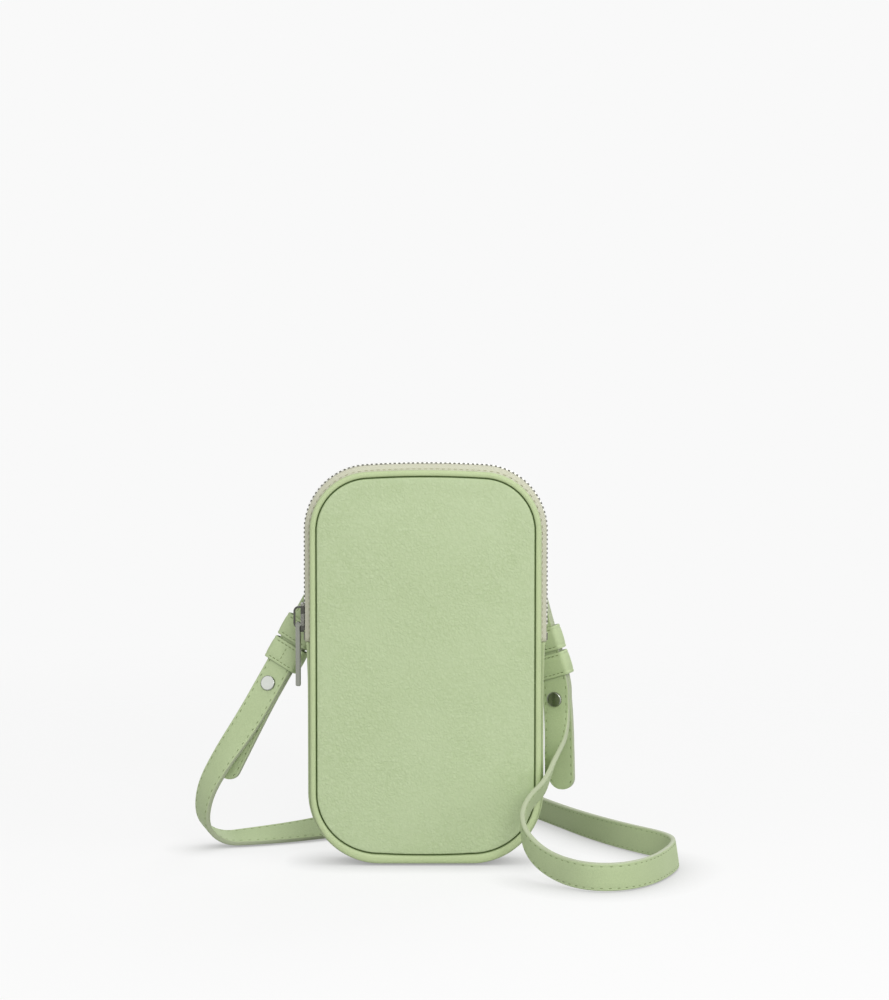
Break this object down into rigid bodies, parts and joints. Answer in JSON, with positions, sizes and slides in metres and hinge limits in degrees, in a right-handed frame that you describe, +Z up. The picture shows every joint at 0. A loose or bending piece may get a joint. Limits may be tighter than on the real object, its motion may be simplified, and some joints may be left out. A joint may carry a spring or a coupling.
{
  "type": "phone pouch",
  "caption": "Slim upright leather phone pouch with a zip round its upper half, a hanging zip pull and a long flat strap riveted at both ends.",
  "frame": {"origin": "on the floor, under the middle of the flat base", "axes": "+X to the wearer-side right as seen from the front, +Y from the front to the back, +Z up"},
  "size_m": [0.2205, 0.2046, 0.1803],
  "materials": {
    "panel_leather": "fine grained, satin",
    "rim_leather": "smooth grained, satin",
    "strap_leather": "smooth, satin, with painted edges",
    "lining_cloth": "woven, matt",
    "stiffener": "matt fibre board",
    "zip_cloth": "woven tape, matt",
    "zip_metal": "nickel plate, satin",
    "hardware_metal": "polished nickel plate"
  },
  "bodies": {
    "pouch": {"front_panel_lower": "panel_leather", "back_panel": "panel_leather", "front_rim_lower": "rim_leather", "back_rim": "rim_leather", "gusset": "rim_leather", "strap_left": "strap_leather", "strap_floor": "strap_leather", "strap_right": "strap_leather", "strap_tail_left": "strap_leather", "strap_tail_right": "strap_leather", "strap_loop_left": "strap_leather", "strap_loop_right": "strap_leather", "chape_left": "strap_leather", "chape_right": "strap_leather", "gusset_lining": "lining_cloth", "front_lining_lower": "lining_cloth", "back_lining": "lining_cloth", "front_board_lower": "stiffener", "back_board": "stiffener", "zip_tape_back": "zip_cloth", "zip_teeth_back": "zip_metal", "zip_end_stops": "zip_metal", "rivet_cap_left": "hardware_metal", "rivet_cap_right": "hardware_metal", "rivet_post_left": "hardware_metal", "rivet_post_right": "hardware_metal", "strap_ring_left": "hardware_metal", "strap_ring_right": "hardware_metal"},
    "flap": {"front_panel_upper": "panel_leather", "front_rim_upper": "rim_leather", "front_board_upper": "stiffener", "front_lining_upper": "lining_cloth", "zip_tape_front": "zip_cloth", "zip_teeth_front": "zip_metal"},
    "slider": {"slider_body": "zip_metal", "slider_crown": "zip_metal"},
    "puller": {"pull_tab": "zip_metal", "pull_pin": "zip_metal"},
    "keeper_left": {"strap_keeper_left": "strap_leather"},
    "keeper_right": {"strap_keeper_right": "strap_leather"}
  },
  "joints": [
    {"name": "zip_slide", "type": "slide", "parent": "pouch", "child": "slider", "axis": [0, 0, 1], "range_m": [0, 0.032], "deforming": ["zip_teeth_front", "zip_teeth_back"]},
    {"name": "pull_swing", "type": "hinge", "parent": "slider", "child": "puller", "pos_m": [-0.05735, 0, 0.1072], "axis": [0, 1, 0], "range_deg": [0, 120]},
    {"name": "mouth_fold", "type": "hinge", "parent": "pouch", "child": "flap", "pos_m": [0, -0.0125, 0.1], "axis": [1, 0, 0], "range_deg": [0, 40], "deforming": ["zip_teeth_front"]},
    {"name": "keeper_left_slide", "type": "slide", "parent": "pouch", "child": "keeper_left", "axis": [0.4922, 0, 0.8705], "range_m": [-0.006, 0.001]},
    {"name": "keeper_right_slide", "type": "slide", "parent": "pouch", "child": "keeper_right", "axis": [-0.1909, 0, 0.9816], "range_m": [-0.006, 0.001]}
  ]
}
